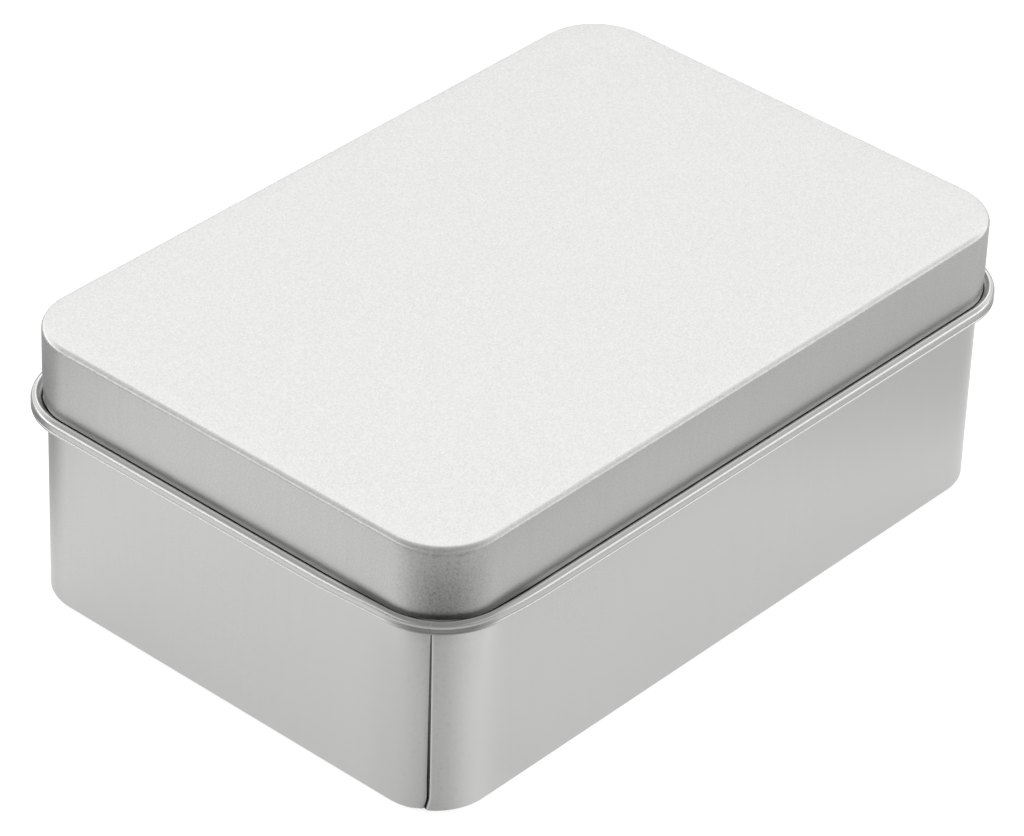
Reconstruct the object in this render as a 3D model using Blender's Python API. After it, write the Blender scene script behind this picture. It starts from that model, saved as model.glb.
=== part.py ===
"""A rectangular slip-lid storage tin of thin tinplate, in metres, standing on the XY plane with +Z up.

Three sheets make it: a drawn lid, a wall strip closed by a lock seam at one corner, and a stamped bottom
panel. Each piece is its sheet's path, seen in section, carried round the rounded rectangle of the tin.
A place in a section is a pair: how far outward of a reference face, and how high above the ground.
"""

import math
from typing import NamedTuple

import bmesh
import bpy

MM = 0.001

# The sheet, and the air left between pieces that rest on each other
SHEET = 0.23 * MM
CLEARANCE = 0.30 * MM

# The lid: its outer sizes, and the hem that doubles the lower edge of the skirt
LID_LENGTH = 150.0 * MM
LID_WIDTH = 100.9 * MM
LID_DEPTH = 14.8 * MM
LID_CORNER_RADIUS = 12.2 * MM
LID_EDGE_RADIUS = 1.1 * MM
HEM_GAP = 0.10 * MM
HEM_HEIGHT = 2.0 * MM

# The wall: overall height up to the lid's top, the bead that carries the lid, and the curled rim of the neck
TIN_HEIGHT = 55.0 * MM
BEAD_REACH = 2.05 * MM
BEAD_NOSE = 0.90 * MM
BEAD_HEIGHT = 2.3 * MM
BEAD_CREST_RISE = 0.60 * MM
BEAD_ROOT_RADIUS = 0.45 * MM
NECK_ROOT_RADIUS = 0.35 * MM
RIM_DROP = 2.5 * MM
RIM_CURL_RADIUS = 0.80 * MM

# The wall's bottom edge, folded inward and up as the hook that holds the bottom panel
BOTTOM_EDGE_RADIUS = 0.60 * MM
HOOK_BEND_RADIUS = 0.40 * MM
HOOK_HEIGHT = 1.9 * MM
RIM_FOLD_GAP = 0.34 * MM

# The lock seam: a fine groove outside, and the flattened fold of the two edges inside
SEAM_FACING = 217.5
SEAM_GROOVE_WIDTH = 0.40 * MM
SEAM_GROOVE_DEPTH = 0.12 * MM
SEAM_FOLD_WIDTH = 3.4 * MM
SEAM_FOLD_LAYERS = 2
SEAM_GROOVE_SHARE = 0.25
SEAM_FOLD_CHAMFER = 0.40 * MM
SEAM_END_GAP = 1.2 * MM

# The bottom panel: the bend above the hook, and the shallow raised field that stiffens it
PANEL_BEND_RADIUS = 0.30 * MM
PANEL_BORDER = 5.0 * MM
PANEL_RISE = 0.45 * MM
PANEL_SLOPE = 1.2 * MM

# How finely round shapes are cut, in degrees to a facet: corners, bends that show and bends that don't
CORNER_FACET = 11.25
SHOWN_FACET = 22.5
HIDDEN_FACET = 45.0
SHARP_ANGLE = math.radians(40.0)

# What follows from these
HEM_THICKNESS = 2 * SHEET + HEM_GAP
LID_EDGE_HEIGHT = TIN_HEIGHT - LID_DEPTH
LID_SETBACK = HEM_THICKNESS + CLEARANCE
VALLEY_HEIGHT = LID_EDGE_HEIGHT - CLEARANCE
BEAD_CREST_HEIGHT = LID_EDGE_HEIGHT + BEAD_CREST_RISE
HOOK_CHANNEL = 2 * CLEARANCE + 2 * SHEET + RIM_FOLD_GAP
HOOK_WIDTH = 2 * SHEET + HOOK_CHANNEL


class Plan(NamedTuple):
    """A rounded rectangle seen from above, centred on the Z axis."""

    length: float
    width: float
    corner_radius: float

    def inset(self, distance):
        return Plan(self.length - 2 * distance, self.width - 2 * distance, self.corner_radius - distance)


class Station(NamedTuple):
    """A place on a plan's edge: which corner, by the signs of X and Y, and the way it faces, in degrees.

    The last two say how much of the seam's groove and of its fold is there, from 0 to 1.
    """

    side_x: int
    side_y: int
    facing: float
    groove_share: float = 0.0
    fold_share: float = 0.0


LID_PLAN = Plan(LID_LENGTH, LID_WIDTH, LID_CORNER_RADIUS)
WALL_PLAN = LID_PLAN.inset(LID_SETBACK)
CORNERS = ((1, 1, 0.0), (-1, 1, 90.0), (-1, -1, 180.0), (1, -1, 270.0))


def turns(start, end, facet):
    """Even steps from one angle to another, each about as large as a facet."""
    steps = max(1, round(abs(end - start) / facet))
    return [start + (end - start) * step / steps for step in range(steps + 1)]


def corner_stations(side_x, side_y, first_facing):
    facings = turns(first_facing, first_facing + 90, CORNER_FACET)
    return [Station(side_x, side_y, facing) for facing in facings]


def plain_stations():
    return [station for corner in CORNERS for station in corner_stations(*corner)]


def place(plan, station, outward, height):
    """The point that lies this far outward of the plan's edge at a station."""
    reach = plan.corner_radius + outward
    facing = math.radians(station.facing)
    return (
        station.side_x * (plan.length / 2 - plan.corner_radius) + reach * math.cos(facing),
        station.side_y * (plan.width / 2 - plan.corner_radius) + reach * math.sin(facing),
        height,
    )


def oval_bend(centre, half_width, half_height, start, end, facet):
    """Points on an oval bend of a section, from one angle to another in degrees."""
    points = []
    for turn in turns(start, end, facet):
        angle = math.radians(turn)
        points.append((centre[0] + half_width * math.cos(angle), centre[1] + half_height * math.sin(angle)))
    return points


def round_bend(centre, radius, start, end, facet):
    return oval_bend(centre, radius, radius, start, end, facet)


def double_bend(start, end, facet):
    """Points on two equal round bends, one after the other, that lead inward and down between two levels."""
    run = start[0] - end[0]
    drop = start[1] - end[1]
    radius = (run**2 + drop**2) / (4 * drop)
    turn = 2 * math.degrees(math.atan2(drop, run))
    crest = round_bend((start[0], start[1] - radius), radius, 90, 90 + turn, facet)
    valley = round_bend((end[0], end[1] + radius), radius, -90 + turn, -90, facet)
    return crest + valley[1:]


def direction(start, end):
    length = math.dist(start, end)
    return ((end[0] - start[0]) / length, (end[1] - start[1]) / length)


def offset_line(line, distance):
    """The line moved sideways, to its left where the distance is positive, with its bends mitred."""
    ways = [direction(start, end) for start, end in zip(line, line[1:])]
    before = ways[:1] + ways
    after = ways + ways[-1:]
    moved = []
    for point, way_in, way_out in zip(line, before, after):
        left = (-way_in[1] - way_out[1], way_in[0] + way_out[0])
        mitre = 2 * distance / (left[0] ** 2 + left[1] ** 2)
        moved.append((point[0] + mitre * left[0], point[1] + mitre * left[1]))
    return moved


def sheet_faces(path):
    """The two faces of a sheet whose middle follows a path: the one on its right, and the one on its left."""
    return offset_line(path, -SHEET / 2), offset_line(path, SHEET / 2)


def lid_section():
    """The middle of the lid's sheet, from the flat top out and down the skirt and back up the hem."""
    skirt = -SHEET / 2
    fold_radius = (SHEET + HEM_GAP) / 2
    fold_height = LID_EDGE_HEIGHT + SHEET / 2 + fold_radius
    top_centre = (-LID_EDGE_RADIUS, TIN_HEIGHT - LID_EDGE_RADIUS)
    path = round_bend(top_centre, LID_EDGE_RADIUS - SHEET / 2, 90, 0, SHOWN_FACET)
    path += round_bend((skirt - fold_radius, fold_height), fold_radius, 0, -180, HIDDEN_FACET)
    path.append((skirt - 2 * fold_radius, LID_EDGE_HEIGHT + HEM_HEIGHT))
    return path


def bead_bends():
    """The middle of the wall's sheet through the bead, from the wall out and over the crest to the neck.

    The crest stands higher than the valley inside it, where the lid's hem sits.
    """
    face = -SHEET / 2
    nose = BEAD_NOSE - SHEET / 2
    half_height = (BEAD_HEIGHT - SHEET) / 2
    middle = (LID_SETBACK + BEAD_REACH - BEAD_NOSE, BEAD_CREST_HEIGHT - BEAD_HEIGHT / 2)
    root = BEAD_ROOT_RADIUS + SHEET / 2
    neck = NECK_ROOT_RADIUS + SHEET / 2
    valley = VALLEY_HEIGHT - SHEET / 2

    path = round_bend((face + root, middle[1] - half_height - root), root, 180, 90, HIDDEN_FACET)
    path += oval_bend(middle, nose, half_height, -90, 90, SHOWN_FACET)
    path += double_bend(path[-1], (LID_SETBACK + face, valley), SHOWN_FACET)[1:]
    path += round_bend((face + neck, valley + neck), neck, -90, -180, HIDDEN_FACET)
    return path


def fold_heights():
    """Where the seam's inner fold starts, is full, starts to thin and ends, between the hook and the bead."""
    low = HOOK_HEIGHT + SEAM_END_GAP
    high = bead_bends()[0][1] - SEAM_END_GAP
    return (low, low + SEAM_FOLD_CHAMFER, high - SEAM_FOLD_CHAMFER, high)


def wall_section():
    """The middle of the wall's sheet, from the hook's free edge to the end of the curl on the neck."""
    face = -SHEET / 2
    floor = SHEET / 2
    hook = HOOK_BEND_RADIUS - SHEET / 2
    edge = BOTTOM_EDGE_RADIUS - SHEET / 2
    curl = RIM_CURL_RADIUS - SHEET / 2
    hook_face = SHEET / 2 - HOOK_WIDTH

    path = [(hook_face, HOOK_HEIGHT)]
    path += round_bend((hook_face + hook, floor + hook), hook, 180, 270, HIDDEN_FACET)
    path += round_bend((face - edge, floor + edge), edge, -90, 0, SHOWN_FACET)
    path += [(face, height) for height in fold_heights()]
    path += bead_bends()
    curl_centre = (face - curl, TIN_HEIGHT - RIM_DROP - RIM_CURL_RADIUS)
    path += round_bend(curl_centre, curl, 0, 270, HIDDEN_FACET)
    return path


def panel_section():
    """The middle of the panel's sheet, from its raised field out to the hook, down into it and up again."""
    inner_leg = -(SHEET + CLEARANCE + SHEET + RIM_FOLD_GAP + SHEET / 2)
    fold = (SHEET + RIM_FOLD_GAP) / 2
    fold_height = SHEET + CLEARANCE + SHEET / 2 + fold
    floor = HOOK_HEIGHT + CLEARANCE + SHEET / 2
    field = inner_leg - PANEL_BEND_RADIUS - PANEL_BORDER

    raised = floor + PANEL_RISE
    path = [(field - 2 * PANEL_SLOPE, raised), (field - PANEL_SLOPE, raised), (field, floor)]
    bend_centre = (inner_leg - PANEL_BEND_RADIUS, floor - PANEL_BEND_RADIUS)
    path += round_bend(bend_centre, PANEL_BEND_RADIUS, 90, 0, HIDDEN_FACET)
    path += round_bend((inner_leg + fold, fold_height), fold, 180, 360, HIDDEN_FACET)
    path.append((inner_leg + 2 * fold, HOOK_HEIGHT))
    return path


def seam_stations():
    """The stations across the lock seam, on the corner that it closes."""

    def station(distance, groove_share, fold_share):
        turn = math.degrees(distance / WALL_PLAN.corner_radius)
        return Station(-1, -1, SEAM_FACING + turn, groove_share, fold_share)

    start = -SEAM_FOLD_WIDTH * (1 - SEAM_GROOVE_SHARE)
    end = SEAM_FOLD_WIDTH * SEAM_GROOVE_SHARE
    return [
        station(start, 0, 0),
        station(start + SEAM_FOLD_CHAMFER, 0, 1),
        station(-SEAM_GROOVE_WIDTH / 2, 0, 1),
        station(0, 1, 1),
        station(SEAM_GROOVE_WIDTH / 2, 0, 1),
        station(end - SEAM_FOLD_CHAMFER, 0, 1),
        station(end, 0, 0),
    ]


def wall_stations():
    """The plain stations, with those of the seam in place of the ones that it covers."""
    seam = seam_stations()
    plain = plain_stations()
    before = [station for station in plain if station.facing < seam[0].facing]
    after = [station for station in plain if station.facing > seam[-1].facing]
    return before + seam + after


def plain_ring(plan, stations, point):
    return [place(plan, station, *point) for station in stations]


def groove_ring(stations, point):
    """A ring of the wall's outer face, sunk at the seam's groove where the wall is upright."""
    on_wall = BOTTOM_EDGE_RADIUS <= point[1] <= bead_bends()[0][1]
    depth = SEAM_GROOVE_DEPTH if on_wall else 0
    return [
        place(WALL_PLAN, station, point[0] - depth * station.groove_share, point[1]) for station in stations
    ]


def fold_ring(stations, point):
    """A ring of the wall's inner face, which stands further in along the seam's fold."""
    heights = fold_heights()
    depth = SEAM_FOLD_LAYERS * SHEET if heights[0] < point[1] < heights[-1] else 0
    return [
        place(WALL_PLAN, station, point[0] - depth * station.fold_share, point[1]) for station in stations
    ]


def mesh_of_rings(name, rings, base_height, capped):
    """A closed mesh with its origin at base_height on the Z axis.

    Each ring of points is joined to the next. Then the first and last rings are filled, where capped, or
    else joined to each other.
    """
    mesh_data = bmesh.new()
    loops = [[mesh_data.verts.new((x, y, z - base_height)) for x, y, z in ring] for ring in rings]
    if capped:
        mesh_data.faces.new(loops[0])
        mesh_data.faces.new(loops[-1])
        pairs = zip(loops, loops[1:])
    else:
        pairs = zip(loops, loops[1:] + loops[:1])
    for lower, upper in pairs:
        for index in range(len(lower)):
            following = (index + 1) % len(lower)
            mesh_data.faces.new((lower[index], lower[following], upper[following], upper[index]))
    bmesh.ops.recalc_face_normals(mesh_data, faces=mesh_data.faces)
    mesh = bpy.data.meshes.new(name)
    mesh_data.to_mesh(mesh)
    mesh_data.free()
    mesh.shade_smooth()
    mesh.set_sharp_from_angle(angle=SHARP_ANGLE)
    return mesh


def tinplate(name, colour, roughness):
    material = bpy.data.materials.new(name)
    material.use_nodes = True
    shader = material.node_tree.nodes["Principled BSDF"]
    shader.inputs["Base Color"].default_value = (*colour, 1.0)
    shader.inputs["Metallic"].default_value = 1.0
    shader.inputs["Roughness"].default_value = roughness
    return material


def add_piece(mesh, material, base_height=0.0):
    """The piece named after its mesh, with its origin on the Z axis, which is the way the lid lifts."""
    mesh.materials.append(material)
    piece = bpy.data.objects.new(mesh.name, mesh)
    piece.location.z = base_height
    bpy.context.scene.collection.objects.link(piece)
    return piece


def make_lid():
    inner, outer = sheet_faces(lid_section())
    stations = plain_stations()
    rings = [plain_ring(LID_PLAN, stations, point) for point in outer + inner[::-1]]
    mesh = mesh_of_rings("lid", rings, LID_EDGE_HEIGHT, capped=True)
    return add_piece(mesh, tinplate("lid_tinplate", (0.62, 0.62, 0.61), 0.42), LID_EDGE_HEIGHT)


def make_body_wall():
    outer, inner = sheet_faces(wall_section())
    stations = wall_stations()
    rings = [groove_ring(stations, point) for point in outer]
    rings += [fold_ring(stations, point) for point in inner[::-1]]
    mesh = mesh_of_rings("body_wall", rings, 0.0, capped=False)
    return add_piece(mesh, tinplate("wall_tinplate", (0.58, 0.58, 0.57), 0.36))


def make_bottom_panel():
    lower, upper = sheet_faces(panel_section())
    stations = plain_stations()
    rings = [plain_ring(WALL_PLAN, stations, point) for point in upper + lower[::-1]]
    mesh = mesh_of_rings("bottom_panel", rings, 0.0, capped=True)
    return add_piece(mesh, tinplate("panel_tinplate", (0.58, 0.58, 0.57), 0.38))


def main():
    for old in list(bpy.data.objects):
        bpy.data.objects.remove(old, do_unlink=True)
    wall = make_body_wall()
    make_bottom_panel().parent = wall
    make_lid().parent = wall


main()
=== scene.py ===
"""The looks of a slip-lid storage tin: three bent and pressed sheets of tinplate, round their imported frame.

Each piece is drawn as the path of its sheet seen in section, made of straight runs and round bends. The path
gets the sheet's thickness, and a Geometry Nodes tree carries it round the tin's rounded rectangle. A place in
a section is a pair: how far outward of the piece's own plan, and how high above the ground.
"""

import logging
import math
from collections.abc import Callable, Mapping, Sequence
from dataclasses import dataclass
from enum import Enum

import bpy
from mathutils import Matrix, Vector


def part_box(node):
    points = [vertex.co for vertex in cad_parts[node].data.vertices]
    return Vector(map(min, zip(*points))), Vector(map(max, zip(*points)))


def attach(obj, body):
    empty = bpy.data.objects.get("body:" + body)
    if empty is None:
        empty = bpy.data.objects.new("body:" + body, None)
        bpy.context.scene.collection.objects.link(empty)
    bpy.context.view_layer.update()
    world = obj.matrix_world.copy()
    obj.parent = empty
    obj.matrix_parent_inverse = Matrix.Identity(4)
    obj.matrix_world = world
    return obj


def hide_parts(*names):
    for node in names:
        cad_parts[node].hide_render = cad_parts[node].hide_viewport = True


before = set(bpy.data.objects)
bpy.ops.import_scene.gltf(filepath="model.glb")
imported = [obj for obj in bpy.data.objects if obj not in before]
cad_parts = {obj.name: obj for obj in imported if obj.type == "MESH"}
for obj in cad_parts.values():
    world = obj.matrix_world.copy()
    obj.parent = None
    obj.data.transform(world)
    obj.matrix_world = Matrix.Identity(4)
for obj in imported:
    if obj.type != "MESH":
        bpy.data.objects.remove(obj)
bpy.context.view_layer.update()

LOG = logging.getLogger("storage_tin")

MM = 0.001
SHEET = 0.23 * MM
FIT_GAP = 0.30 * MM
BEND_STEP = 7.5
HIDDEN_BEND_STEP = 15.0
RUN_STEP = 3.0 * MM
WELD = 0.002 * MM
CREASE_ANGLE = math.radians(50.0)
SEAM_FACING = math.radians(217.5)
OUTER = "outer"
HALF = 0.5
MARK_DETAIL = 3.0
PHOTO_WIDTH = 1024
WHITE = (1.0, 1.0, 1.0, 1.0)
BLACK = (0.0, 0.0, 0.0, 1.0)
SOCKETS = {float: "NodeSocketFloat", int: "NodeSocketInt", bpy.types.Material: "NodeSocketMaterial"}

Place = tuple[float, float]
Span = tuple[float, float]
Triple = tuple[float, float, float]
Colour = Triple


def arithmetic(operation: str, is_swapped: bool = False) -> Callable[["Value", "Number"], "Value"]:
    """Makes one of the operators of Value.

    Args:
        operation: What its Math node works out.
        is_swapped: Whether the other operand stands first.

    Returns:
        The operator's method.
    """

    def method(self: "Value", other: "Number") -> "Value":
        """Returns the Math node's result."""
        return self.graph.maths(operation, *((other, self) if is_swapped else (self, other)))

    return method


class Value:
    """A socket's value in a node graph. Arithmetic on it adds Math nodes."""

    def __init__(self, graph: "Graph", socket: bpy.types.NodeSocket) -> None:
        """Keeps the graph and the socket that the value comes out of."""
        self.graph = graph
        self.socket = socket

    __add__ = arithmetic("ADD")
    __radd__ = arithmetic("ADD", is_swapped=True)
    __sub__ = arithmetic("SUBTRACT")
    __rsub__ = arithmetic("SUBTRACT", is_swapped=True)
    __mul__ = arithmetic("MULTIPLY")
    __rmul__ = arithmetic("MULTIPLY", is_swapped=True)
    __truediv__ = arithmetic("DIVIDE")
    __rtruediv__ = arithmetic("DIVIDE", is_swapped=True)
    __mod__ = arithmetic("FLOORED_MODULO")

    def __abs__(self) -> "Value":
        """Returns the value without its sign."""
        return self.graph.maths("ABSOLUTE", self)

    def between(self, low: "Number", high: "Number") -> "Value":
        """Returns a smooth step: 0 at low and before it, 1 at high and past it."""
        settings = {"interpolation_type": "SMOOTHSTEP"}
        return self.graph.add("ShaderNodeMapRange", settings, {0: self, 1: low, 2: high})[0]

    def bell(self, centre: "Number", width: "Number") -> "Value":
        """Returns a bell: 1 at its centre, and little past one and a half widths from it."""
        offset = (self - centre) / width
        return self.graph.maths("EXPONENT", offset * offset * -1.0)

    def clamped(self) -> "Value":
        """Returns the value held between 0 and 1."""
        return self.graph.add("ShaderNodeClamp", inputs={0: self})[0]


Number = Value | float | int


class Node:
    """A node whose outputs are read by name or by number."""

    def __init__(self, graph: "Graph", node: bpy.types.Node) -> None:
        """Keeps the graph and the node."""
        self.graph = graph
        self.node = node

    def __getitem__(self, key: str | int) -> Value:
        """Returns the value of one output."""
        return Value(self.graph, self.node.outputs[key])


class MixKind(Enum):
    """What a Mix node mixes: its setting, and the numbers of its first, second and result sockets."""

    NUMBER = ("FLOAT", 2, 3, 0)
    COLOUR = ("RGBA", 6, 7, 2)


class Graph:
    """A node tree that is being built."""

    def __init__(self, tree: bpy.types.NodeTree) -> None:
        """Keeps the tree."""
        self.tree = tree

    def add(
        self,
        kind: str,
        settings: Mapping[str, object] | None = None,
        inputs: Mapping[str | int, object] | None = None,
    ) -> Node:
        """Adds one node.

        Args:
            kind: The node's type.
            settings: Its properties, which are set first. "stops" fills a ramp with places and greys.
            inputs: The values or links of its sockets, by name or by number.

        Returns:
            The node.
        """
        node = self.tree.nodes.new(kind)
        for name, setting in (settings or {}).items():
            if name == "stops":
                self.fill_ramp(node.color_ramp, setting)
            else:
                setattr(node, name, setting)
        for key, given in (inputs or {}).items():
            if isinstance(given, Value):
                self.tree.links.new(given.socket, node.inputs[key])
            else:
                node.inputs[key].default_value = given
        return Node(self, node)

    @staticmethod
    def fill_ramp(ramp: bpy.types.ColorRamp, stops: Sequence[Span]) -> None:
        """Gives a ramp its grey stops.

        Args:
            ramp: The ramp, which starts with two stops.
            stops: Each stop's place and its grey.
        """
        while len(ramp.elements) < len(stops):
            ramp.elements.new(1.0)
        for element, (position, grey) in zip(ramp.elements, stops):
            element.position = position
            element.color = (grey, grey, grey, 1.0)

    def maths(self, operation: str, *operands: Number) -> Value:
        """Adds a Math node.

        Args:
            operation: What it works out.
            operands: Its values, in order.

        Returns:
            Its result.
        """
        return self.add("ShaderNodeMath", {"operation": operation}, dict(enumerate(operands)))[0]

    def vector(self, operation: str, *operands: object) -> Value:
        """Adds a Vector Math node.

        Args:
            operation: What it works out.
            operands: Its values, in order.

        Returns:
            Its result, a vector.
        """
        return self.add("ShaderNodeVectorMath", {"operation": operation}, dict(enumerate(operands)))["Vector"]

    def dot(self, first: object, second: object) -> Value:
        """Returns the dot product of two vectors."""
        return self.add("ShaderNodeVectorMath", {"operation": "DOT_PRODUCT"}, {0: first, 1: second})["Value"]

    def mix(self, kind: MixKind, share: Number, first: object, second: object) -> Value:
        """Adds a Mix node.

        Args:
            kind: What is mixed.
            share: 0 for the first, 1 for the second.
            first: A value or a link.
            second: A value or a link.

        Returns:
            The mixture.
        """
        setting, first_socket, second_socket, result = kind.value
        inputs = {0: share, first_socket: first, second_socket: second}
        return self.add("ShaderNodeMix", {"data_type": setting}, inputs)[result]

    def parts(self, vector: Value) -> tuple[Value, Value, Value]:
        """Returns a vector's X, Y and Z."""
        split = self.add("ShaderNodeSeparateXYZ", inputs={0: vector})
        return split[0], split[1], split[2]

    def joined(self, x: Number, y: Number, z: Number) -> Value:
        """Returns a vector from its parts."""
        return self.add("ShaderNodeCombineXYZ", inputs={0: x, 1: y, 2: z})[0]

    def scaled(self, vector: Value, factor: Number) -> Value:
        """Returns a vector times a number."""
        inputs = {0: vector, "Scale": factor}
        return self.add("ShaderNodeVectorMath", {"operation": "SCALE"}, inputs)["Vector"]

    def noise(self, place: Value, size: float, detail: float = 2.0) -> Value:
        """Adds a Noise Texture.

        Args:
            place: Where it is read, in metres.
            size: How large its spots are, in metres.
            detail: How many finer layers it has.

        Returns:
            A value from 0 to 1, one half on average.
        """
        inputs = {"Vector": place, "Scale": 1.0 / size, "Detail": detail}
        return self.add("ShaderNodeTexNoise", inputs=inputs)["Fac"]


@dataclass(frozen=True)
class Plan:
    """A rounded rectangle seen from above, centred on the Z axis."""

    length: float
    width: float
    corner_radius: float

    def inset(self, distance: float) -> "Plan":
        """Returns the plan that lies this far inside it."""
        return Plan(self.length - 2 * distance, self.width - 2 * distance, self.corner_radius - distance)

    def core(self) -> Triple:
        """Returns the centre of the corner where x and y are positive."""
        radius = self.corner_radius
        return self.length * HALF - radius, self.width * HALF - radius, 0.0


class SheetPath:
    """The middle line of a bent sheet, seen in section."""

    def __init__(self, start: Place) -> None:
        """Starts the line at a place."""
        self.places = [start]

    def run_to(self, end: Place, step: float = RUN_STEP) -> "SheetPath":
        """Carries the sheet straight on.

        Args:
            end: Where the run ends.
            step: About how far apart its places are.

        Returns:
            The path itself.
        """
        start = self.places[-1]
        count = max(1, round(math.dist(start, end) / step))
        for index in range(1, count + 1):
            share = index / count
            self.add((start[0] + share * (end[0] - start[0]), start[1] + share * (end[1] - start[1])))
        return self

    def bend(
        self, centre: Place, radius: float, start: float, end: float, step: float = BEND_STEP
    ) -> "SheetPath":
        """Carries the sheet round a bend.

        Args:
            centre: The bend's centre.
            radius: Its radius, below zero where the angles are those of the opposite side.
            start: The angle where the bend starts, in degrees.
            end: The angle where it ends.
            step: About how many degrees apart its places are.

        Returns:
            The path itself.
        """
        count = max(2, round(abs(end - start) / step))
        for index in range(count + 1):
            angle = math.radians(start + (end - start) * index / count)
            self.add((centre[0] + radius * math.cos(angle), centre[1] + radius * math.sin(angle)))
        return self

    def roll(self, radius: float, start: float, end: float, step: float = BEND_STEP) -> "SheetPath":
        """Carries the sheet on round a bend from where it is.

        Args:
            radius: The bend's radius, below zero where it turns to the right.
            start: The way that the sheet's right side faces where the bend starts, in degrees.
            end: The way that it faces where the bend ends.
            step: About how many degrees apart its places are.

        Returns:
            The path itself.
        """
        here, angle = self.places[-1], math.radians(start)
        centre = (here[0] - radius * math.cos(angle), here[1] - radius * math.sin(angle))
        return self.bend(centre, radius, start, end, step)

    def slant(self, length: float, facing: float) -> "SheetPath":
        """Carries the sheet straight on, with its right side facing this many degrees from outward."""
        here, angle = self.places[-1], math.radians(facing + 90.0)
        return self.run_to((here[0] + length * math.cos(angle), here[1] + length * math.sin(angle)))

    def add(self, place: Place) -> None:
        """Adds a place, unless the line is there already."""
        if math.dist(self.places[-1], place) > WELD:
            self.places.append(place)

    def face(self, distance: float) -> list[Place]:
        """Moves the line sideways, with its bends mitred.

        Args:
            distance: How far, to its left where this is positive.

        Returns:
            The places of the moved line.
        """
        ways = []
        for start, end in zip(self.places, self.places[1:]):
            length = math.dist(start, end)
            ways.append(((end[0] - start[0]) / length, (end[1] - start[1]) / length))
        moved = []
        for place, way_in, way_out in zip(self.places, ways[:1] + ways, ways + ways[-1:]):
            left = (-way_in[1] - way_out[1], way_in[0] + way_out[0])
            mitre = 2 * distance / (left[0] ** 2 + left[1] ** 2)
            moved.append((place[0] + mitre * left[0], place[1] + mitre * left[1]))
        return moved


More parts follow.
